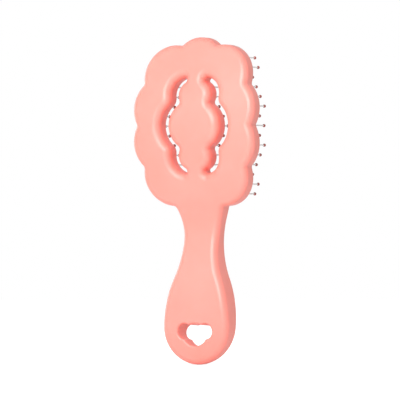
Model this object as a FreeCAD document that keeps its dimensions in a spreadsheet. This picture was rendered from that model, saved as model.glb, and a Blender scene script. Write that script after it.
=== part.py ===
import FreeCAD, Part
import math
import os
from FreeCAD import Vector

# A vanity hairbrush: a cloud-shaped vented head on a short bulb handle.
# Frame: +Z runs up the brush from the end of the handle, +Y points the way the
# pins point, and the origin is under the middle of the whole brush.

SIZES = [
    # head, as seen from the back
    ("head_half_width", 39.9, "widest half width of the head, at the side lobes"),
    ("head_half_height", 46.9, "from the head's centre to the ends of its shoulders"),
    ("head_centre_up", 139.4, "height of the head's centre"),
    ("notch_round", 2.0, "rounding where two lobes meet"),
    # head and handle, as seen from the side
    ("bow_radius", 144.0, "radius that the head is bowed to, lengthwise"),
    ("head_depth", 10.5, "thickness of the head"),
    ("back_round", 3.8, "rounding of the back's edge"),
    ("front_round", 2.2, "rounding of the front's edge"),
    # handle
    ("neck_half_width", 11.4, "narrowest half width"),
    ("neck_up", 71.0, "height of the narrowest place"),
    ("bulb_half_width", 21.4, "half width of the bulb, and the radius of its end"),
    ("bulb_back", 3.2, "how far the bulb's back lies in front of the head's back"),
    ("bulb_back_up", 26.0, "height at which the bulb's back is highest"),
    ("handle_back_radius", 168.0, "radius of the handle's back, lengthwise"),
    ("handle_front", 20.6, "how far the handle's front lies in front of the head's back"),
    ("handle_front_up", 72.0, "height at which the handle's front is highest"),
    ("handle_front_radius", 300.0, "radius of the handle's front, lengthwise"),
    ("valley_round", 34.0, "blend between head and handle, along the back"),
    ("ridge_round", 22.0, "blend between head and handle, along the front"),
    # mouldings
    ("wall", 2.2, "thickness of the mouldings' broad walls"),
    ("side_wall", 3.0, "thickness of the mouldings' side walls"),
    ("edge_wall", 1.3, "thickness of the wall round the cushion's flange"),
    ("head_lip", 2.6, "depth of the front moulding in the head"),
    ("handle_lip", 3.9, "depth of the front moulding in the handle"),
    ("rim_width", 2.5, "width of the front moulding's rim around the cushion"),
    ("ledge", 2.4, "width of the step that the cushion's flange lies on"),
    ("bulkhead_up", 90.0, "height of the wall between head and handle"),
    ("post_radius", 2.4, "radius of the posts that join the mouldings"),
    ("spigot_radius", 1.2, "radius of the spigot on each post"),
    ("spigot_reach", 1.4, "how far a spigot goes into its socket"),
    ("lower_post_up", 47.0, "height of the lower post"),
    ("upper_post_up", 74.0, "height of the upper post"),
    # slots
    ("slot_gap", 5.4, "clear width of the two curved slots"),
    ("slot_back_round", 4.3, "rounding of the slots' back edge"),
    ("slot_front_round", 0.9, "rounding of the slots' front edge"),
    ("slot_end_bulge", 0.3, "how far the slots' ends bulge"),
    ("slot_cusp_round", 5.8, "rounding where two bays of a slot meet"),
    ("collar", 3.4, "wall round a slot, behind the cushion"),
    ("collar_lip", 1.6, "wall round a slot, where the cushion fits it"),
    # hanging hole
    ("hang_half_width", 11.2, "half width of the hanging hole"),
    ("hang_height", 12.9, "height of the hanging hole"),
    ("hang_up", 17.6, "height of the hanging hole's middle"),
    ("hang_tilt", 4.0, "degrees that the hanging hole slopes down towards the front"),
    ("hang_round", 1.3, "rounding of the hanging hole's edges"),
    ("hang_collar", 1.8, "wall round the hanging hole"),
    # cushion
    ("flange", 1.6, "thickness of the cushion's flange"),
    ("membrane", 1.7, "thickness of the cushion's face"),
    ("cushion_wall", 1.1, "thickness of the cushion's sides"),
    ("cushion_rise", 0.6, "how far the cushion stands in front of the rim"),
    ("cushion_fit", 0.15, "gap between the cushion and the mouldings"),
    # pins
    ("row_count", 15, "rows of pins"),
    ("row_pitch", 5.69, "distance between rows"),
    ("column_pitch", 5.96, "distance between the pins in a row"),
    ("pin_radius", 0.4, "radius of a pin"),
    ("pin_reach", 18.9, "length of a pin in front of the head's front"),
    ("pin_head_radius", 0.8, "radius of the head on a pin's inner end"),
    ("pin_head_depth", 0.7, "thickness of that head"),
    ("pin_head_gap", 0.4, "gap between that head and the cushion"),
    ("pin_hole_fit", 0.05, "gap between a pin and its hole in the cushion"),
    ("pin_edge_margin", 4.4, "least distance from a pin to the head's edge"),
    ("pin_slot_margin", 3.7, "least distance from a pin to a slot"),
    ("tip_radius", 0.95, "radius of the ball on a pin's outer end"),
]

# Lobes of the head on its right side, from the top down. Each lobe is an arc from one
# notch through its crown to the next notch, in shares of half width and half height.
HEAD_NOTCHES = [(0.283, 0.994), (0.842, 0.512), (0.937, 0.0), (0.842, -0.512), (0.401, -1.0)]
HEAD_CROWNS = [(0.724, 0.885), (1.0, 0.22), (1.0, -0.22), (0.724, -0.885)]
HEAD_TOP = (0.0, 1.10)

# Bottom of the cushion, in the same shares.
CUSHION_BOTTOM = (0.0, -1.079)

# Bays of the right-hand slot, from the top down: points on the island's side of the slot, in
# shares of half width and half height, with the way across the slot there, in degrees above +X,
# and the slot's width there as a share of its full width.
SLOT_NOTCHES = [(0.140, 0.545, 62, 0.5), (0.233, 0.275, 5, 1), (0.233, -0.275, -5, 1), (0.140, -0.545, -62, 0.5)]
SLOT_CROWNS = [(0.256, 0.439, 27, 0.9), (0.423, 0.0, 0, 1), (0.256, -0.439, -27, 0.9)]

# Rounding of a slot's ends, as a share of its half width.
SLOT_END_SHARE = 0.94

# Lobes of the hanging hole on its right side, in shares of half width and half height.
HANG_NOTCHES = [(0.36, 0.86), (0.62, -0.38)]
HANG_CROWN = (1.0, 0.30)

doc = FreeCAD.newDocument("Hairbrush")
sheet = doc.addObject("Spreadsheet::Sheet", "Sizes")
for row, (alias, value, note) in enumerate(SIZES, 1):
    sheet.set(f"A{row}", note)
    sheet.set(f"B{row}", str(value))
    sheet.setAlias(f"B{row}", alias)
doc.recompute()


def size(alias):
    return float(sheet.get(alias))


FAR = 4 * size("head_centre_up")
HALF_WIDTH = size("head_half_width")
HALF_HEIGHT = size("head_half_height")
CENTRE_UP = size("head_centre_up")


def bow(up):
    """How far the head's back lies in front of its middle, at a height."""
    radius = size("bow_radius")
    return radius - math.sqrt(radius**2 - (up - CENTRE_UP) ** 2)


def pin_row_heights():
    count = int(size("row_count"))
    return [CENTRE_UP + (i - (count - 1) / 2) * size("row_pitch") for i in range(count)]


TIP_DEPTH = size("head_depth") + size("pin_reach")
DEEPEST = TIP_DEPTH + max(bow(up) for up in pin_row_heights())
BACK_AT = -DEEPEST / 2


# --- plane outlines, as seen from the back ---------------------------------------


def flat(across, up):
    return Vector(across, 0, up)


def side(depth, up):
    return Vector(0, depth, up)


def arc(start, middle, end):
    return Part.Arc(start, middle, end).toShape()


def arc_about(centre, start, end):
    radius = (start - centre).Length
    middle = centre + ((start - centre) + (end - centre)).normalize() * radius
    return arc(start, middle, end)


def mirrored(point):
    return Vector(-point.x, point.y, point.z)


def on_head(share):
    return flat(share[0] * HALF_WIDTH, CENTRE_UP + share[1] * HALF_HEIGHT)


def face_of(edges):
    return Part.Face(Part.Wire(Part.__sortEdges__(edges)))


def prism(face):
    """The outline carried through the whole depth of the brush."""
    prism_face = face.copy()
    prism_face.translate(Vector(0, -FAR, 0))
    return prism_face.extrude(Vector(0, 2 * FAR, 0))


def circles_meet(centre_a, radius_a, centre_b, radius_b, pick):
    """Where two circles in one plane cross: pick chooses between the two points."""
    apart = centre_b - centre_a
    along = (radius_a**2 - radius_b**2 + apart.Length**2) / (2 * apart.Length)
    off = math.sqrt(max(0, radius_a**2 - along**2))
    line = Vector(apart).normalize()
    across = Vector(line.z, 0, -line.x) if abs(line.y) < 1e-9 else Vector(0, -line.z, line.y)
    points = [centre_a + line * along + across * off, centre_a + line * along - across * off]
    return pick(points)


def turn_of(before, after):
    """Positive where the way onward turns left, as seen from the back."""
    return before.x * after.z - before.z * after.x


def heading(place, centre, bulges):
    """The way onward along an anticlockwise outline's arc, at a place on it."""
    arm = place - centre
    return flat(-arm.z, arm.x) * (1 if bulges else -1)


def grown(centre, radius, bulges, by):
    """An outline's arc, moved outwards by so much."""
    return centre, radius + (by if bulges else -by), bulges


def rounding(corner, radius, arc_a, arc_b, by):
    """Where arc a ends and arc b begins once both are moved outwards, and the round between them.

    A radius of 0 says that the arcs meet smoothly.
    """
    from_left = turn_of(heading(corner, arc_a[0], arc_a[2]), heading(corner, arc_b[0], arc_b[2])) > 0
    centre_a, radius_a, bulges_a = grown(*arc_a, by)
    centre_b, radius_b, bulges_b = grown(*arc_b, by)
    if radius == 0:
        meet = centre_a + (corner - centre_a).normalize() * radius_a
        return meet, meet, None
    radius = max(min(radius, size("notch_round")), radius + (by if from_left else -by))
    reach_a = radius_a + (-radius if bulges_a == from_left else radius)
    reach_b = radius_b + (-radius if bulges_b == from_left else radius)
    centre = circles_meet(centre_a, reach_a, centre_b, reach_b, lambda ps: min(ps, key=corner.distanceToPoint))
    leave = centre_a + (centre - centre_a).normalize() * radius_a
    join = centre_b + (centre - centre_b).normalize() * radius_b
    return leave, join, arc_about(centre, leave, join)


def outline_of(corners, crowns, rounds, by):
    """A closed outline of arcs, anticlockwise: from each corner through its crown to the next corner.

    It is moved outwards by so much, and each corner has a rounding radius.
    """
    arcs = []
    for start, crown, end in zip(corners, crowns, corners[1:] + corners[:1]):
        curve = arc(start, crown, end).Curve
        arcs.append((curve.Center, curve.Radius, turn_of(crown - start, end - crown) > 0))
    joints = [rounding(*joint, by) for joint in zip(corners, rounds, arcs[-1:] + arcs[:-1], arcs)]
    edges = [round_edge for leave, join, round_edge in joints if round_edge]
    for joint, following, crown, each in zip(joints, joints[1:] + joints[:1], crowns, arcs):
        centre, radius, bulges = grown(*each, by)
        middle = centre + (crown - centre).normalize() * radius
        edges.append(arc(joint[1], middle, following[0]))
    return face_of(edges)


def two_sided(corners, crowns, rounds, top, bottom, by):
    """An outline alike on its two sides, from its right side's corners and crowns, bottom to top."""
    left_corners = [mirrored(p) for p in reversed(corners)]
    left_crowns = [mirrored(p) for p in reversed(crowns)]
    return outline_of(
        corners + left_corners, crowns + [top] + left_crowns + [bottom], rounds + rounds[::-1], by
    )


def handle_side(shoulder):
    """Corners and crowns of the handle's right side, bottom to top: arcs that meet smoothly."""
    neck, neck_up = size("neck_half_width"), size("neck_up")
    bulb = size("bulb_half_width")
    spread, drop = shoulder.x - neck, shoulder.z - neck_up
    neck_radius = (drop**2 + spread**2) / (2 * spread)
    flank_radius = ((bulb - neck) ** 2 + (neck_up - bulb) ** 2) / (2 * (bulb - neck)) - neck_radius
    neck_centre = flat(neck + neck_radius, neck_up)
    flank_centre = flat(bulb - flank_radius, bulb)
    meet = neck_centre + (flank_centre - neck_centre) * (neck_radius / (neck_radius + flank_radius))
    widest = flat(bulb, bulb)
    middle = flank_centre + ((meet - flank_centre) + (widest - flank_centre)).normalize() * flank_radius
    return [widest, meet], [middle, flat(neck, neck_up)]


def head_side():
    """Corners and crowns of the head's right side, bottom to top."""
    return [on_head(n) for n in reversed(HEAD_NOTCHES)], [on_head(c) for c in reversed(HEAD_CROWNS)]


def head_and_handle(by=0):
    corners, crowns = head_side()
    low_corners, low_crowns = handle_side(corners[0])
    rounds = [0] * len(low_corners) + [size("notch_round")] * len(corners)
    return two_sided(low_corners + corners, low_crowns + crowns, rounds, on_head(HEAD_TOP), flat(0, 0), by)


def head_only(by=0):
    """The head as a closed cloud, which the cushion follows."""
    corners, crowns = head_side()
    rounds = [size("notch_round")] * len(corners)
    return two_sided(corners, crowns, rounds, on_head(HEAD_TOP), on_head(CUSHION_BOTTOM), by)


def slot_side(points, across):
    """Points on one side of the slot: so far across it from the island's side."""
    moved = []
    for over, up, way, width in points:
        turn = math.radians(way)
        moved.append(on_head((over, up)) + flat(math.cos(turn), math.sin(turn)) * across * width)
    return moved


def slot_end(way):
    """The middle of the slot's end, at the top if way is 1 and at the bottom if it is -1."""
    over, up, across, width = SLOT_NOTCHES[0]
    turn = math.radians(across)
    across_slot = flat(math.cos(turn), way * math.sin(turn))
    along_slot = flat(-math.sin(turn), way * math.cos(turn))
    middle = on_head((over, way * up)) + across_slot * (size("slot_gap") * width / 2)
    return middle + along_slot * size("slot_end_bulge")


def slot(way, by=0):
    """One curved slot, widened by so much: way is 1 for the right-hand one, -1 for the left-hand one."""
    gap = size("slot_gap")
    island = slot_side(SLOT_NOTCHES, 0)
    ring = slot_side(SLOT_NOTCHES, gap)[::-1]
    island_crowns = slot_side(SLOT_CROWNS, 0)
    ring_crowns = slot_side(SLOT_CROWNS, gap)[::-1]
    end = SLOT_END_SHARE * gap * SLOT_NOTCHES[0][3] / 2
    cusp, notch = size("slot_cusp_round"), size("notch_round")
    rounds = [end] + [cusp] * (len(ring) - 2) + [end, end] + [notch] * (len(island) - 2) + [end]
    crowns = ring_crowns + [slot_end(1)] + island_crowns + [slot_end(-1)]
    outline = outline_of(ring + island, crowns, rounds, by)
    if way < 0:
        outline = outline.mirror(Vector(), Vector(1, 0, 0))
    return outline


def hanging_hole(by=0):
    """The hanging hole's cloud, widened by so much."""

    def place(share):
        up = size("hang_up") + share[1] * size("hang_height") / 2
        return flat(share[0] * size("hang_half_width"), up)

    corners = [place(n) for n in reversed(HANG_NOTCHES)]
    rounds = [size("notch_round")] * len(corners)
    return two_sided(corners, [place(HANG_CROWN)], rounds, place((0, 1)), place((0, -1)), by)


# --- curves along the brush, as seen from the side ------------------------------------


def at_height(centre, radius, up, way):
    return side(centre.y + way * math.sqrt(radius**2 - (up - centre.z) ** 2), up)


TOP_CUT = CENTRE_UP + 1.25 * HALF_HEIGHT
BOTTOM_CUT = -0.1 * HALF_HEIGHT


def back_curve(head_in, handle_in):
    """The back's line from top to bottom, moved inwards by so much in the head and in the handle."""
    head_centre = side(size("bow_radius"), CENTRE_UP)
    head_radius = size("bow_radius") - head_in
    handle_centre = side(size("bulb_back") + size("handle_back_radius"), size("bulb_back_up"))
    handle_radius = size("handle_back_radius") - handle_in
    blend = size("valley_round") + min(head_in, handle_in)
    blend_centre = circles_meet(
        head_centre, head_radius + blend, handle_centre, handle_radius + blend, lambda ps: min(ps, key=lambda p: p.y)
    )
    top = at_height(head_centre, head_radius, TOP_CUT, -1)
    bottom = at_height(handle_centre, handle_radius, BOTTOM_CUT, -1)
    leave_head = head_centre + (blend_centre - head_centre).normalize() * head_radius
    join_handle = handle_centre + (blend_centre - handle_centre).normalize() * handle_radius
    return [
        arc_about(head_centre, top, leave_head),
        arc_about(blend_centre, leave_head, join_handle),
        arc_about(handle_centre, join_handle, bottom),
    ], top, bottom


def front_curve(head_in, handle_in):
    """The front's line from top to bottom, moved inwards by so much in the head and in the handle."""
    head_centre = side(size("bow_radius"), CENTRE_UP)
    head_radius = size("bow_radius") - size("head_depth") + head_in
    handle_centre = side(size("handle_front") - size("handle_front_radius"), size("handle_front_up"))
    handle_radius = size("handle_front_radius") - handle_in
    blend = size("ridge_round") - max(head_in, handle_in)
    blend_centre = circles_meet(
        head_centre,
        head_radius + blend,
        handle_centre,
        handle_radius - blend,
        lambda ps: min(ps, key=lambda p: abs(p.z - size("neck_up"))),
    )
    top = at_height(head_centre, head_radius, TOP_CUT, -1)
    bottom = at_height(handle_centre, handle_radius, BOTTOM_CUT, 1)
    leave_head = head_centre + (blend_centre - head_centre).normalize() * head_radius
    join_handle = handle_centre + (blend_centre - handle_centre).normalize() * handle_radius
    return [
        arc_about(head_centre, top, leave_head),
        arc_about(blend_centre, leave_head, join_handle),
        arc_about(handle_centre, join_handle, bottom),
    ], top, bottom


def slab(behind, before):
    """All that lies between two curves along the brush."""
    back_edges, back_top, back_bottom = behind
    front_edges, front_top, front_bottom = before
    ends = [Part.makeLine(back_top, front_top), Part.makeLine(back_bottom, front_bottom)]
    outline = face_of(back_edges + front_edges + ends)
    outline.translate(Vector(-FAR, 0, 0))
    return outline.extrude(Vector(2 * FAR, 0, 0))


def head_curve(depth):
    """A line at one depth inside the head, from above its top to below its shoulders."""
    centre = side(size("bow_radius"), CENTRE_UP)
    radius = size("bow_radius") - depth
    top = at_height(centre, radius, TOP_CUT, -1)
    bottom = at_height(centre, radius, 2 * CENTRE_UP - TOP_CUT, -1)
    return [arc_about(centre, top, bottom)], top, bottom


def seam_curve():
    """The line along which the two mouldings meet."""
    return front_curve(size("head_lip"), size("handle_lip"))


SEAM_DEPTH = size("head_depth") - size("head_lip")
LEDGE_DEPTH = SEAM_DEPTH - size("flange") - 2 * size("cushion_fit")
FACE_DEPTH = size("head_depth") + size("cushion_rise")
UNDER_DEPTH = FACE_DEPTH - size("membrane")

BODY_PLAN = head_and_handle()
HEAD_PLAN = head_only()
SLOTS = [slot(1), slot(-1)]


def fused(shapes):
    return shapes[0].multiFuse(shapes[1:]) if len(shapes) > 1 else shapes[0]


def slots_grown(by):
    return [prism(slot(way, by)) for way in (1, -1)]


def half_space(low_up, high_up):
    return Part.makeBox(2 * FAR, 2 * FAR, high_up - low_up, Vector(-FAR, -FAR, low_up))


# --- the two mouldings, as one outer form ----------------------------------------------


def edges_on(solid, curve, chosen):
    """Edges of the solid that run along one side curve, where chosen says yes to their middle."""
    surface = Part.makeCompound([edge.extrude(Vector(4 * HALF_WIDTH, 0, 0)) for edge in curve[0]])
    surface.translate(Vector(-2 * HALF_WIDTH, 0, 0))
    found = []
    for edge in solid.Edges:
        middle = edge.valueAt((edge.FirstParameter + edge.LastParameter) / 2)
        if chosen(flat(middle.x, middle.z)) and Part.Vertex(middle).distToShape(surface)[0] < 0.01:
            found.append(edge)
    return found


def along(*outlines):
    """Says yes to a point that lies on one of the outlines."""
    return lambda point: any(Part.Vertex(point).distToShape(o.OuterWire)[0] < 0.01 for o in outlines)


def about_hang(point):
    """Says yes to a point that is at or near the hanging hole."""
    return abs(point.z - size("hang_up")) < size("hang_height") * 0.75 and abs(point.x) < 1.1 * size("hang_half_width")


def hang_prism(by=0):
    """The hanging hole carried through the handle, sloping down towards the front."""
    solid = prism(hanging_hole(by))
    solid.rotate(side(size("bulb_back"), size("hang_up")), Vector(1, 0, 0), -size("hang_tilt"))
    return solid


def outer_form():
    back, front = back_curve(0, 0), front_curve(0, 0)
    solid = prism(BODY_PLAN).common(slab(back, front))
    solid = solid.makeFillet(size("back_round"), edges_on(solid, back, along(BODY_PLAN)))
    solid = solid.makeFillet(size("front_round"), edges_on(solid, front, along(BODY_PLAN)))
    solid = solid.cut(fused([prism(outline) for outline in SLOTS] + [hang_prism()]))
    solid = solid.makeFillet(size("slot_back_round"), edges_on(solid, back, along(*SLOTS)))
    solid = solid.makeFillet(size("slot_front_round"), edges_on(solid, front, along(*SLOTS)))
    solid = solid.makeFillet(size("hang_round"), edges_on(solid, back, about_hang))
    solid = solid.makeFillet(size("hang_round"), edges_on(solid, front, about_hang))
    return solid


OUTER = outer_form()


# --- mouldings ---------------------------------------------------------------------------


def post(up, from_depth, radius, reach):
    """A round post along the brush's depth, from one depth to another."""
    return Part.makeCylinder(radius, reach - from_depth, side(from_depth, up), Vector(0, 1, 0))


def back_depth(up):
    """Depth of the handle's back at a height."""
    radius = size("handle_back_radius")
    return size("bulb_back") + radius - math.sqrt(radius**2 - (up - size("bulb_back_up")) ** 2)


def seam_depth(up):
    """Depth of the seam between the mouldings in the handle, at a height."""
    radius = size("handle_front_radius")
    drop = radius - math.sqrt(radius**2 - (up - size("handle_front_up")) ** 2)
    return size("handle_front") - drop - size("handle_lip")


POSTS_UP = [size("lower_post_up"), size("upper_post_up")]


def back_shell():
    """Back moulding: back wall, side walls, walls round the slots and the hanging hole, posts."""
    wall, side_wall = size("wall"), size("side_wall")
    shell = OUTER.common(slab(back_curve(0, 0), seam_curve()))
    head_room = prism(head_only(-size("edge_wall") - size("ledge")))
    head_room = head_room.common(slab(head_curve(wall), head_curve(LEDGE_DEPTH)))
    head_room = head_room.cut(fused(slots_grown(size("collar"))))
    pocket = prism(head_only(-size("edge_wall")))
    pocket = pocket.common(slab(head_curve(LEDGE_DEPTH), head_curve(size("head_depth"))))
    pocket = pocket.cut(fused(slots_grown(size("collar_lip"))))
    handle_room = prism(head_and_handle(-side_wall))
    handle_room = handle_room.common(half_space(-FAR, size("bulkhead_up") - wall))
    handle_room = handle_room.common(slab(back_curve(wall, wall), front_curve(0, 0)))
    handle_room = handle_room.cut(hang_prism(size("hang_collar")))
    shell = shell.cut(fused([head_room, pocket, handle_room]))
    lips = OUTER.common(fused(slots_grown(size("collar_lip"))))
    lips = lips.common(slab(head_curve(LEDGE_DEPTH), head_curve(FACE_DEPTH)))
    pieces = [shell, lips]
    for up in POSTS_UP:
        seat = back_depth(up) + wall / 2
        pieces.append(post(up, seat, size("post_radius"), seam_depth(up)))
        pieces.append(post(up, seat, size("spigot_radius"), seam_depth(up) + size("spigot_reach")))
    return fused(pieces).removeSplitter()


def front_shell():
    """Front moulding: rim round the cushion and front of the handle."""
    wall, side_wall = size("wall"), size("side_wall")
    shell = OUTER.common(slab(seam_curve(), front_curve(0, 0)))
    window = prism(head_only(-size("rim_width")))
    handle_room = prism(head_and_handle(-side_wall))
    handle_room = handle_room.common(half_space(-FAR, size("bulkhead_up") - wall))
    handle_room = handle_room.common(slab(back_curve(wall, wall), front_curve(wall, wall)))
    handle_room = handle_room.cut(hang_prism(size("hang_collar")))
    flange_room = prism(head_only(-size("edge_wall"))).common(slab(head_curve(LEDGE_DEPTH), head_curve(SEAM_DEPTH)))
    shell = shell.cut(fused([window, flange_room, handle_room]))
    fit = size("pin_hole_fit")
    for up in POSTS_UP:
        seat = seam_depth(up)
        shell = shell.fuse(post(up, seat, size("post_radius"), seat + size("handle_lip") - wall / 2))
        shell = shell.cut(post(up, seat, size("spigot_radius") + fit, seat + size("spigot_reach") + fit))
    return shell.removeSplitter()


# --- cushion --------------------------------------------------------------------------------


def cushion_sheet(edge_in, slot_out, near, far):
    """Part of the cushion: the head's outline moved in, with its slots, between two depths."""
    sheet_solid = prism(head_only(-edge_in))
    sheet_solid = sheet_solid.common(slab(head_curve(near), head_curve(far)))
    return sheet_solid.cut(fused(slots_grown(slot_out)))


def pin_places():
    """The pins' places, row by row from the bottom: inside the head and clear of the slots."""
    rows = []
    for number, up in enumerate(pin_row_heights()):
        start = 0.5 if number % 2 else 0.0
        reach = int(HALF_WIDTH / size("column_pitch")) + 1
        row = []
        for column in range(-reach, reach + 1):
            across = (column + start) * size("column_pitch")
            spot = Part.Vertex(flat(across, up))
            inside = HEAD_PLAN.isInside(spot.Point, 0.01, True)
            edge_gap = spot.distToShape(HEAD_PLAN.OuterWire)[0]
            slot_gap = min(spot.distToShape(outline)[0] for outline in SLOTS)
            if inside and edge_gap > size("pin_edge_margin") and slot_gap > size("pin_slot_margin"):
                row.append(flat(across, up))
        rows.append(row)
    return rows


PIN_ROWS = pin_places()


def cushion_pad():
    """Rubber cushion: a flange under the rim and a raised face, with a hole for each pin."""
    edge_in = size("rim_width") + size("cushion_fit")
    slot_out = size("collar_lip") + size("cushion_fit")
    sides = size("cushion_wall")
    flange_in = size("edge_wall") + size("cushion_fit")
    seat, top = LEDGE_DEPTH + size("cushion_fit"), SEAM_DEPTH - size("cushion_fit")
    flange = cushion_sheet(flange_in, slot_out, seat, top)
    face = cushion_sheet(edge_in, slot_out, seat, FACE_DEPTH)
    hollow = cushion_sheet(edge_in + sides, slot_out + sides, 0, UNDER_DEPTH)
    pad = flange.fuse(face).cut(hollow)
    radius = size("pin_radius") + size("pin_hole_fit")
    holes = [
        Part.makeCylinder(radius, 2 * size("head_depth"), place + side(bow(place.z), 0), Vector(0, 1, 0))
        for row in PIN_ROWS
        for place in row
    ]
    return pad.cut(Part.makeCompound(holes)).removeSplitter()


# --- pins and their ball tips ------------------------------------------------------------------


def new_object(kind, name, bindings):
    """An object of the document with its sizes bound to the sheet."""
    thing = doc.addObject(kind, name)
    for target, expression in bindings.items():
        thing.setExpression(target, expression)
    return thing


def pin_pattern():
    """One pin, its inner end at the origin: a head and a long round shaft along +Y."""
    lie_down = FreeCAD.Placement(Vector(), FreeCAD.Rotation(Vector(1, 0, 0), -90))
    head = new_object(
        "Part::Cylinder", "pin_head", {"Radius": "Sizes.pin_head_radius", "Height": "Sizes.pin_head_depth"}
    )
    length = (
        "Sizes.pin_head_depth + Sizes.pin_head_gap + Sizes.membrane - Sizes.cushion_rise"
        " + Sizes.pin_reach - Sizes.tip_radius"
    )
    shaft = new_object("Part::Cylinder", "pin_shaft", {"Radius": "Sizes.pin_radius", "Height": length})
    for piece in (head, shaft):
        piece.Placement = lie_down
    pin = doc.addObject("Part::MultiFuse", "pin")
    pin.Shapes = [head, shaft]
    return pin


def tip_pattern():
    """One ball tip, its middle at the origin, with the bore that the pin's end fills."""
    ball = new_object("Part::Sphere", "tip_ball", {"Radius": "Sizes.tip_radius"})
    bore = new_object("Part::Cylinder", "tip_bore", {"Radius": "Sizes.pin_radius", "Height": "Sizes.tip_radius * 2"})
    bore.Placement = FreeCAD.Placement(Vector(), FreeCAD.Rotation(Vector(1, 0, 0), 90))
    tip = doc.addObject("Part::Cut", "tip")
    tip.Base = ball
    tip.Tool = bore
    return tip


def group(pattern, places, depth):
    """Copies of one small piece, one at each place along a row."""
    copies = []
    for place in places:
        copy = pattern.Shape.copy()
        copy.translate(place + side(bow(place.z) + depth, 0))
        copies.append(copy)
    return Part.makeCompound(copies)


def sub_part(name, shape):
    """A finished piece of the brush, moved so that the brush is centred on the origin."""
    piece = doc.addObject("Part::Feature", name)
    piece.Label = name
    piece.Shape = shape
    piece.Placement = FreeCAD.Placement(side(BACK_AT, 0), FreeCAD.Rotation())
    return piece


pin = pin_pattern()
tip = tip_pattern()
doc.recompute()

sub_parts = [
    sub_part("back_shell", back_shell()),
    sub_part("front_shell", front_shell()),
    sub_part("cushion_pad", cushion_pad()),
]
PIN_START = UNDER_DEPTH - size("pin_head_gap") - size("pin_head_depth")
for number, row in enumerate(PIN_ROWS, 1):
    sub_parts.append(sub_part(f"pins_row_{number:02d}", group(pin, row, PIN_START)))
    sub_parts.append(sub_part(f"tips_row_{number:02d}", group(tip, row, TIP_DEPTH - size("tip_radius"))))
doc.recompute()

for thing in doc.Objects:
    if "Invalid" in thing.State or "Error" in thing.State:
        raise RuntimeError(f"{thing.Name} failed: {thing.State}")
for piece in sub_parts:
    if piece.Shape.isNull() or not piece.Shape.isValid():
        raise RuntimeError(f"{piece.Label} has no valid shape")

os.makedirs("parts", exist_ok=True)
for piece in sub_parts:
    piece.Shape.exportStep(f"parts/{piece.Label}.step")
    box = piece.Shape.BoundBox
    print(
        f"{piece.Label}: {len(piece.Shape.Solids)} solids, {piece.Shape.Volume:.1f} mm3,"
        f" y {box.YMin:.2f} to {box.YMax:.2f}, z {box.ZMin:.2f} to {box.ZMax:.2f}"
    )
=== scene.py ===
import bpy
import bmesh
import math
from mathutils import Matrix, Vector
from mathutils.bvhtree import BVHTree
from mathutils.kdtree import KDTree


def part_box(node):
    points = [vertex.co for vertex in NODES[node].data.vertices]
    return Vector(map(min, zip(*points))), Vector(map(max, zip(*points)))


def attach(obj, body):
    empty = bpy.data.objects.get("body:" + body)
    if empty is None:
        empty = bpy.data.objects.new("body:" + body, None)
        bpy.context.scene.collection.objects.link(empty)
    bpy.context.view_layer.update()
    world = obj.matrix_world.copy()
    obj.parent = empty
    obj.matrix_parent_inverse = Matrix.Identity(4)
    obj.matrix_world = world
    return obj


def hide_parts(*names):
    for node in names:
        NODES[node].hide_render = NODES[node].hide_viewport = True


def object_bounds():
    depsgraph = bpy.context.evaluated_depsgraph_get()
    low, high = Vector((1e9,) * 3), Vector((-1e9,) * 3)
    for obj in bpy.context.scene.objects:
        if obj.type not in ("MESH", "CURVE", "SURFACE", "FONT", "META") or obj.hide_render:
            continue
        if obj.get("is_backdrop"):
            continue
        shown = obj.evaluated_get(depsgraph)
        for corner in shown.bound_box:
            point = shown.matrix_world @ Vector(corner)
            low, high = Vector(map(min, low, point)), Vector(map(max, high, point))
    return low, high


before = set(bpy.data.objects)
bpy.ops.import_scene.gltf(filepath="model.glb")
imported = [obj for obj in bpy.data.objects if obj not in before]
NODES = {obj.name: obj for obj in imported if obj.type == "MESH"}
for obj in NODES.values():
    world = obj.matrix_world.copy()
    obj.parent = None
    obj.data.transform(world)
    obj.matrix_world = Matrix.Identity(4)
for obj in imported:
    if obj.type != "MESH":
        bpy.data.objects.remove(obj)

# A vanity hairbrush: two coral mouldings, a rubber cushion and rows of nylon pins
# with ball tips. Metres, +Z up the brush, +Y the way the pins point.

CAD_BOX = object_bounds()
MM = 0.001

SHELLS = ["back_shell", "front_shell"]
PIN_ROWS = sorted(name for name in NODES if name.startswith("pins_row"))
TIP_ROWS = sorted(name for name in NODES if name.startswith("tips_row"))


# --- shader groups ---------------------------------------------------------------

NOISE_LOW, NOISE_HIGH = 0.3, 0.7  # noise mostly lies between these
DRIFT_SCALE = 28.0                # noise scale of the slow drift in colour
SMEAR_SCALE = 95.0                # noise scale of the duller and brighter smears
FLOW_SCALE = 60.0                 # noise scale of the waves that moulding leaves
SKIN_HEIGHT = 0.03 * MM
FLOW_HEIGHT = 0.5 * MM


def new_group(name, inputs, outputs):
    """An empty node group with its named inputs (name, kind, value) and outputs (name, kind)."""
    group = bpy.data.node_groups.new(name, "ShaderNodeTree")
    for label, kind, value in inputs:
        socket = group.interface.new_socket(label, in_out="INPUT", socket_type=kind)
        socket.default_value = value
    for label, kind in outputs:
        group.interface.new_socket(label, in_out="OUTPUT", socket_type=kind)
    return group, group.nodes.new("NodeGroupInput"), group.nodes.new("NodeGroupOutput")


def noise(tree, coordinates, scale, detail=2.0, roughness=0.5):
    node = tree.nodes.new("ShaderNodeTexNoise")
    node.inputs["Scale"].default_value = scale
    node.inputs["Detail"].default_value = detail
    node.inputs["Roughness"].default_value = roughness
    tree.links.new(coordinates, node.inputs["Vector"])
    return node.outputs["Fac"]


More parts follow.
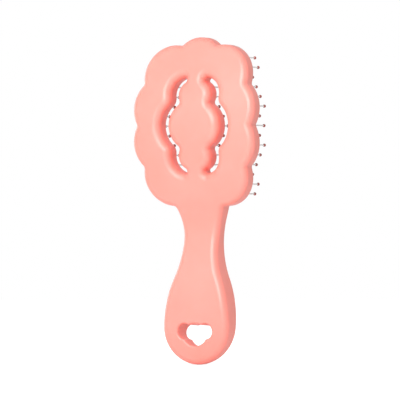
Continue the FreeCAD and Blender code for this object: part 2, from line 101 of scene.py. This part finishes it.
def stretched(tree, value, low, high):
    """A noise value carried to low..high, each of them a number or a socket."""
    node = tree.nodes.new("ShaderNodeMapRange")
    node.inputs["From Min"].default_value = NOISE_LOW
    node.inputs["From Max"].default_value = NOISE_HIGH
    for label, end in (("To Min", low), ("To Max", high)):
        if isinstance(end, (int, float)):
            node.inputs[label].default_value = end
        else:
            tree.links.new(end, node.inputs[label])
    tree.links.new(value, node.inputs["Value"])
    return node.outputs["Result"]


def moulded_surface():
    """Moulded plastic or rubber: colour that drifts a little, uneven gloss and a fine skin."""
    group, given, made = new_group(
        "moulded_surface",
        [
            ("Light Colour", "NodeSocketColor", (1, 1, 1, 1)),
            ("Deep Colour", "NodeSocketColor", (1, 1, 1, 1)),
            ("Gloss Low", "NodeSocketFloat", 0.3),
            ("Gloss High", "NodeSocketFloat", 0.4),
            ("Skin Size", "NodeSocketFloat", 2500.0),
            ("Skin Depth", "NodeSocketFloat", 0.1),
            ("Flow Depth", "NodeSocketFloat", 0.1),
        ],
        [
            ("Colour", "NodeSocketColor"),
            ("Roughness", "NodeSocketFloat"),
            ("Normal", "NodeSocketVector"),
        ],
    )
    links = group.links
    place = group.nodes.new("ShaderNodeTexCoord").outputs["Object"]

    drift = stretched(group, noise(group, place, DRIFT_SCALE, 3.0), 0.0, 1.0)
    colour = group.nodes.new("ShaderNodeMix")
    colour.data_type = "RGBA"
    links.new(drift, colour.inputs["Factor"])
    links.new(given.outputs["Light Colour"], colour.inputs["A"])
    links.new(given.outputs["Deep Colour"], colour.inputs["B"])
    links.new(colour.outputs["Result"], made.inputs["Colour"])

    smear = noise(group, place, SMEAR_SCALE, 4.0, 0.6)
    gloss = stretched(group, smear, given.outputs["Gloss Low"], given.outputs["Gloss High"])
    links.new(gloss, made.inputs["Roughness"])

    skin = group.nodes.new("ShaderNodeTexNoise")
    skin.inputs["Detail"].default_value = 2.0
    links.new(place, skin.inputs["Vector"])
    links.new(given.outputs["Skin Size"], skin.inputs["Scale"])
    fine = group.nodes.new("ShaderNodeBump")
    fine.inputs["Distance"].default_value = SKIN_HEIGHT
    links.new(given.outputs["Skin Depth"], fine.inputs["Strength"])
    links.new(skin.outputs["Fac"], fine.inputs["Height"])

    flow = group.nodes.new("ShaderNodeBump")
    flow.inputs["Distance"].default_value = FLOW_HEIGHT
    links.new(given.outputs["Flow Depth"], flow.inputs["Strength"])
    links.new(noise(group, place, FLOW_SCALE, 1.0), flow.inputs["Height"])
    links.new(fine.outputs["Normal"], flow.inputs["Normal"])
    links.new(flow.outputs["Normal"], made.inputs["Normal"])
    return group


# --- materials -------------------------------------------------------------------


def from_srgb(red, green, blue):
    """A colour given in the usual 0..255 steps, as the linear colour that shaders take."""
    linear = []
    for step in (red, green, blue):
        share = step / 255
        linear.append(share / 12.92 if share <= 0.04045 else ((share + 0.055) / 1.055) ** 2.4)
    return (*linear, 1.0)


def moulded_material(name, light, deep, gloss, skin, flow):
    """A material on the moulded surface group: gloss is (low, high), skin is (size, depth)."""
    material = bpy.data.materials.new(name)
    material.use_nodes = True
    tree = material.node_tree
    shader = tree.nodes["Principled BSDF"]
    surface = tree.nodes.new("ShaderNodeGroup")
    surface.node_tree = MOULDED
    surface.inputs["Light Colour"].default_value = light
    surface.inputs["Deep Colour"].default_value = deep
    surface.inputs["Gloss Low"].default_value = gloss[0]
    surface.inputs["Gloss High"].default_value = gloss[1]
    surface.inputs["Skin Size"].default_value = skin[0]
    surface.inputs["Skin Depth"].default_value = skin[1]
    surface.inputs["Flow Depth"].default_value = flow
    tree.links.new(surface.outputs["Colour"], shader.inputs["Base Color"])
    tree.links.new(surface.outputs["Roughness"], shader.inputs["Roughness"])
    tree.links.new(surface.outputs["Normal"], shader.inputs["Normal"])
    return material, shader


def coral_plastic():
    """Satin coral plastic, a little translucent at thin edges."""
    material, shader = moulded_material(
        "coral_plastic",
        light=from_srgb(249, 150, 138),
        deep=from_srgb(248, 142, 129),
        gloss=(0.34, 0.42),
        skin=(2200.0, 0.25),
        flow=0.05,
    )
    shader.inputs["Subsurface Weight"].default_value = 0.25
    shader.inputs["Subsurface Radius"].default_value = (1.0, 0.35, 0.25)
    shader.inputs["Subsurface Scale"].default_value = 2.0 * MM
    shader.inputs["IOR"].default_value = 1.49
    shader.inputs["Specular IOR Level"].default_value = 0.75
    return material


def cushion_rubber():
    """Soft matte rubber, a shade deeper than the mouldings."""
    material, shader = moulded_material(
        "cushion_rubber",
        light=from_srgb(243, 146, 131),
        deep=from_srgb(236, 134, 119),
        gloss=(0.5, 0.6),
        skin=(1500.0, 0.5),
        flow=0.12,
    )
    shader.inputs["Subsurface Weight"].default_value = 0.15
    shader.inputs["Subsurface Radius"].default_value = (1.0, 0.4, 0.3)
    shader.inputs["Subsurface Scale"].default_value = 1.2 * MM
    shader.inputs["Sheen Weight"].default_value = 0.1
    return material


def nylon_pin():
    """Pale drawn nylon."""
    material, shader = moulded_material(
        "nylon_pin",
        light=from_srgb(236, 233, 231),
        deep=from_srgb(226, 222, 220),
        gloss=(0.25, 0.35),
        skin=(3000.0, 0.15),
        flow=0.03,
    )
    shader.inputs["Subsurface Weight"].default_value = 0.2
    shader.inputs["Subsurface Radius"].default_value = (1.0, 1.0, 1.0)
    shader.inputs["Subsurface Scale"].default_value = 0.5 * MM
    return material


def ball_tip():
    """Glossy dipped tips, dark red-brown."""
    material, shader = moulded_material(
        "ball_tip",
        light=from_srgb(186, 88, 76),
        deep=from_srgb(160, 66, 58),
        gloss=(0.12, 0.2),
        skin=(1800.0, 0.1),
        flow=0.02,
    )
    shader.inputs["Coat Weight"].default_value = 0.4
    shader.inputs["Coat Roughness"].default_value = 0.08
    return material


def put_on(material, names):
    """Gives the material to every slot of the named nodes."""
    for name in names:
        mesh = NODES[name].data
        if not mesh.materials:
            mesh.materials.append(material)
        for number in range(len(mesh.materials)):
            mesh.materials[number] = material


MOULDED = moulded_surface()
PLASTIC = coral_plastic()
RUBBER = cushion_rubber()
NYLON = nylon_pin()
DIPPED = ball_tip()
put_on(PLASTIC, SHELLS)
put_on(NYLON, PIN_ROWS)
put_on(DIPPED, TIP_ROWS)


# --- cushion ---------------------------------------------------------------------

GRID = 0.55 * MM          # spacing of the face's mesh
EDGE_ROUND = 0.9 * MM     # rounding of the face's edge
SKIRT = 2.3 * MM          # length of the side wall that is in front of the flange
CROWN = 0.25 * MM         # how far the face swells between its edges
CROWN_REACH = 9.0 * MM    # distance from an edge at which the swelling is full
SAME_PLACE = 0.002 * MM   # corners of the pad's mesh this close are one corner
WELD = 0.02 * MM          # corners of the new face this close are one corner
STEP_OFF = 0.05 * MM      # start of a look forwards, in front of the pad's surface
FRONTWARD = 0.8           # a surface that turns forwards at least this much is front
PINS_APART = 2.0 * MM     # pins of a row stand further apart than this
HOLE_REACH = 1.2 * MM     # edges this near a pin belong to its hole
HOLE_RADIUS = 0.7 * MM    # the face is closed over the pins' holes out to here
BORDER_STEP = 0.15 * MM   # spacing of the points along the face's edges
BOW_ACROSS = 1.1 * MM     # a line up the face that misses the pins' holes
BOW_SHARES = (0.08, 0.5, 0.92)  # heights on that line, as shares of the pad's
OUTER_SNAP = 0.75 * GRID  # corners outside the face by less than this move to its edge
INNER_SNAP = 0.25 * GRID  # and so do corners inside it by less than this


def new_piece(name, mesh, material, body):
    mesh.materials.append(material)
    piece = bpy.data.objects.new(name, mesh)
    bpy.context.scene.collection.objects.link(piece)
    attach(piece, body)
    return piece


def pad_face():
    """The pad's front face: a tree to find its depth with, and the ends of its border's edges."""
    pad = bmesh.new()
    pad.from_mesh(NODES["cushion_pad"].data)
    bmesh.ops.remove_doubles(pad, verts=pad.verts, dist=SAME_PLACE)
    tree = BVHTree.FromBMesh(pad)
    towards_front = Vector((0, 1, 0))
    front = set()
    for face in pad.faces:
        middle = face.calc_center_median()
        clear = tree.ray_cast(middle + towards_front * STEP_OFF, towards_front)[0] is None
        if face.normal.y > FRONTWARD and clear:
            front.add(face)
    border = []
    for edge in pad.edges:
        if sum(face in front for face in edge.link_faces) == 1:
            border.append([vert.co.copy() for vert in edge.verts])
    face_only = bmesh.new()
    made = {}
    for face in front:
        corners = []
        for vert in face.verts:
            if vert not in made:
                made[vert] = face_only.verts.new(vert.co)
            corners.append(made[vert])
        face_only.faces.new(corners)
    return BVHTree.FromBMesh(face_only), border


def pins_of(row):
    """Places of a row's pins in the plane of the head: their middles, as (x, z)."""
    low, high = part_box(row)
    across = sorted(vert.co.x for vert in NODES[row].data.vertices)
    places, start, last = [], across[0], across[0]
    for value in across[1:] + [math.inf]:
        if value - last > PINS_APART:
            places.append(((start + last) / 2, (low.z + high.z) / 2))
            start = value
        last = value
    return places


PINS_BY_ROW = {row: pins_of(row) for row in PIN_ROWS}
PINS = [place for places in PINS_BY_ROW.values() for place in places]
FACE_TREE, FACE_BORDER = pad_face()


def face_depth(across, up):
    """How far forward the pad's face is at a place, or None beside it."""
    hit = FACE_TREE.ray_cast(Vector((across, 1.0, up)), Vector((0, -1, 0)))[0]
    return hit.y if hit else None


def border_tree():
    """The face's outer edge and slot edges, as closely spaced points, without the pins' holes."""
    points = []
    for start, end in FACE_BORDER:
        middle = (start + end) / 2
        if any(math.hypot(middle.x - x, middle.z - z) < HOLE_REACH for x, z in PINS):
            continue
        steps = max(1, math.ceil((end - start).length / BORDER_STEP))
        points += [start.lerp(end, step / steps) for step in range(steps + 1)]
    tree = KDTree(len(points))
    for number, point in enumerate(points):
        tree.insert((point.x, 0, point.z), number)
    tree.balance()
    return tree


BORDER = border_tree()


def bow_circle():
    """Centre and radius of the arc that the face is bowed to, through three of its places."""
    low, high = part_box("cushion_pad")
    ups = [low.z + (high.z - low.z) * share for share in BOW_SHARES]
    depths = [face_depth(BOW_ACROSS, up) for up in ups]
    chord = ups[2] - ups[0]
    sag = (depths[0] + depths[2]) / 2 - depths[1]
    radius = (sag**2 + (chord / 2) ** 2) / (2 * sag)
    return depths[1] + radius, ups[1], radius


BOW_DEPTH, BOW_UP, BOW_RADIUS = bow_circle()


def bowed(up):
    """How far forward the face lies at a height, by its arc, pins' holes or not."""
    return BOW_DEPTH - math.sqrt(BOW_RADIUS**2 - (up - BOW_UP) ** 2)


def inside_face(across, up):
    """True on the face and over the pins' holes in it."""
    if face_depth(across, up) is not None:
        return True
    return any(math.hypot(across - x, up - z) < HOLE_RADIUS for x, z in PINS)


def swollen(gap):
    """How far the face stands in front of its arc at a distance from its edge."""
    share = min(1.0, gap / CROWN_REACH)
    rise = CROWN * (1 - (1 - share) ** 2)
    if gap >= EDGE_ROUND:
        return rise
    return rise - EDGE_ROUND + math.sqrt(EDGE_ROUND**2 - (EDGE_ROUND - gap) ** 2)


def cushion_face():
    """The cushion's rounded and slightly swollen face with its side wall."""
    low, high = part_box("cushion_pad")
    columns = math.ceil((high.x - low.x) / GRID) + 2
    rows = math.ceil((high.z - low.z) / GRID) + 2
    shape = bmesh.new()
    kept = {}
    for column in range(-1, columns):
        for row in range(-1, rows):
            across, up = low.x + column * GRID, low.z + row * GRID
            edge, _, gap = BORDER.find((across, 0, up))
            within = inside_face(across, up)
            if not within and gap > OUTER_SNAP:
                continue
            if not within or gap < INNER_SNAP:
                across, up, gap = edge.x, edge.z, 0.0
            kept[column, row] = shape.verts.new((across, bowed(up) + swollen(gap), up))
    for (column, row), corner in kept.items():
        ring = [(column, row), (column, row + 1), (column + 1, row + 1), (column + 1, row)]
        if all(place in kept for place in ring):
            shape.faces.new([kept[place] for place in ring])
    bmesh.ops.remove_doubles(shape, verts=shape.verts, dist=WELD)
    loose = [vert for vert in shape.verts if not vert.link_faces]
    bmesh.ops.delete(shape, geom=loose, context="VERTS")
    border = [edge for edge in shape.edges if len(edge.link_faces) == 1]
    wall = bmesh.ops.extrude_edge_only(shape, edges=border)["geom"]
    for vert in wall:
        if isinstance(vert, bmesh.types.BMVert):
            vert.co.y -= SKIRT
    bmesh.ops.recalc_face_normals(shape, faces=shape.faces)
    mesh = bpy.data.meshes.new("cushion_face")
    shape.to_mesh(mesh)
    shape.free()
    mesh.shade_smooth()
    return new_piece("cushion_face", mesh, RUBBER, "cushion")


# --- bosses round the pins -------------------------------------------------------

BOSS_SIDES = 24
BOSS = [  # radius and height over the face, from the foot up to the pin
    (1.55 * MM, -0.25 * MM),
    (1.30 * MM, 0.05 * MM),
    (1.05 * MM, 0.22 * MM),
    (0.82 * MM, 0.32 * MM),
    (0.62 * MM, 0.30 * MM),
    (0.48 * MM, 0.18 * MM),
    (0.41 * MM, -0.05 * MM),
]


def row_bosses(row, places):
    """Small raised rings of rubber round the pins of a row, which lean with the pins."""
    shape = bmesh.new()
    for across, up in places:
        gap = BORDER.find((across, 0, up))[2]
        foot = bowed(up) + swollen(gap)
        rings = []
        for radius, height in BOSS:
            ring = []
            for side in range(BOSS_SIDES):
                turn = 2 * math.pi * side / BOSS_SIDES
                beside = across + radius * math.cos(turn)
                above = up + radius * math.sin(turn)
                slope = bowed(above) - bowed(up)
                ring.append(shape.verts.new((beside, foot + height + slope, above)))
            rings.append(ring)
        for outer, inner in zip(rings, rings[1:]):
            for side in range(BOSS_SIDES):
                after = (side + 1) % BOSS_SIDES
                shape.faces.new((outer[side], inner[side], inner[after], outer[after]))
    bmesh.ops.recalc_face_normals(shape, faces=shape.faces)
    name = row.replace("pins", "bosses")
    mesh = bpy.data.meshes.new(name)
    shape.to_mesh(mesh)
    shape.free()
    mesh.shade_smooth()
    return new_piece(name, mesh, RUBBER, row.replace("pins_", ""))


FACE = cushion_face()
BOSSES = [row_bosses(row, places) for row, places in PINS_BY_ROW.items()]
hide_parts("cushion_pad")


# --- floor, light and camera -----------------------------------------------------

FLOOR_RADIUS = 1.6
FLOOR_SIDES = 96
FLOOR_DROP = 0.2 * MM     # the floor lies this far under the brush
FRAME_HEIGHT = 0.234      # height that the camera takes in at the brush
CAMERA_DISTANCE = 2.5
SENSOR = 36.0             # width of the camera's sensor, in millimetres


def glow_material(name, colour, shown, cast):
    """A pale surface that looks nearly white to the camera and still takes soft shadows."""
    material = bpy.data.materials.new(name)
    material.use_nodes = True
    tree = material.node_tree
    shader = tree.nodes["Principled BSDF"]
    shader.inputs["Base Color"].default_value = colour
    shader.inputs["Roughness"].default_value = 0.9
    shader.inputs["Emission Color"].default_value = (1, 1, 1, 1)
    rays = tree.nodes.new("ShaderNodeLightPath")
    glow = tree.nodes.new("ShaderNodeMapRange")
    glow.inputs["To Min"].default_value = cast
    glow.inputs["To Max"].default_value = shown
    tree.links.new(rays.outputs["Is Camera Ray"], glow.inputs["Value"])
    tree.links.new(glow.outputs["Result"], shader.inputs["Emission Strength"])
    return material


def floor():
    """A round pale floor under the brush."""
    shape = bmesh.new()
    bmesh.ops.create_circle(shape, cap_ends=True, segments=FLOOR_SIDES, radius=FLOOR_RADIUS)
    mesh = bpy.data.meshes.new("floor")
    shape.to_mesh(mesh)
    shape.free()
    mesh.materials.append(glow_material("pale_floor", (0.9, 0.9, 0.9, 1), shown=0.55, cast=0.0))
    piece = bpy.data.objects.new("floor", mesh)
    piece.location.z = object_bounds()[0].z - FLOOR_DROP
    bpy.context.scene.collection.objects.link(piece)
    piece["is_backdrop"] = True


def surroundings(seen, cast):
    """White all round: one brightness for the camera and another for lighting the brush."""
    world = bpy.data.worlds.new("white_room")
    bpy.context.scene.world = world
    world.use_nodes = True
    tree = world.node_tree
    tree.nodes.clear()
    rays = tree.nodes.new("ShaderNodeLightPath")
    output = tree.nodes.new("ShaderNodeOutputWorld")
    choice = tree.nodes.new("ShaderNodeMixShader")
    tree.links.new(rays.outputs["Is Camera Ray"], choice.inputs["Fac"])
    for slot, strength in ((1, cast), (2, seen)):
        white = tree.nodes.new("ShaderNodeBackground")
        white.inputs["Color"].default_value = (1, 1, 1, 1)
        white.inputs["Strength"].default_value = strength
        tree.links.new(white.outputs["Background"], choice.inputs[slot])
    tree.links.new(choice.outputs["Shader"], output.inputs["Surface"])


def around(azimuth, elevation, distance, target):
    """A place seen from the target at an azimuth and elevation in degrees."""
    turn, lift = math.radians(azimuth), math.radians(elevation)
    way = Vector((math.sin(turn) * math.cos(lift), -math.cos(turn) * math.cos(lift), math.sin(lift)))
    return target + way * distance


def facing(thing, target):
    thing.rotation_mode = "QUATERNION"
    thing.rotation_quaternion = (target - thing.location).to_track_quat("-Z", "Y")


def softbox(name, azimuth, elevation, distance, size, power):
    light = bpy.data.lights.new(name, "AREA")
    light.shape = "RECTANGLE"
    light.size, light.size_y = size
    light.energy = power
    box = bpy.data.objects.new(name, light)
    box.location = around(azimuth, elevation, distance, MIDDLE)
    bpy.context.scene.collection.objects.link(box)
    facing(box, MIDDLE)


def camera(azimuth, elevation, distance, frame_height, aim):
    """A long lens that takes in so much height at the brush."""
    lens = bpy.data.cameras.new("camera")
    lens.sensor_width = SENSOR
    lens.lens = lens.sensor_width * distance / frame_height
    lens.clip_end = 20.0
    body = bpy.data.objects.new("camera", lens)
    body.location = around(azimuth, elevation, distance, aim)
    bpy.context.scene.collection.objects.link(body)
    facing(body, aim)
    bpy.context.scene.camera = body


LOW, HIGH = CAD_BOX
MIDDLE = (LOW + HIGH) / 2
floor()
surroundings(seen=1.0, cast=0.6)
softbox("key", azimuth=6, elevation=24, distance=0.62, size=(0.45, 0.36), power=3.4)
softbox("edge_light", azimuth=-104, elevation=8, distance=0.9, size=(0.5, 0.8), power=2.6)
softbox("top_fill", azimuth=10, elevation=60, distance=1.0, size=(0.6, 0.6), power=0.8)
AIM = MIDDLE + Vector((-2.9 * MM, -1.5 * MM, 0.5 * MM))
camera(28, 0, CAMERA_DISTANCE, FRAME_HEIGHT, AIM)

bpy.context.scene.view_settings.view_transform = "Standard"
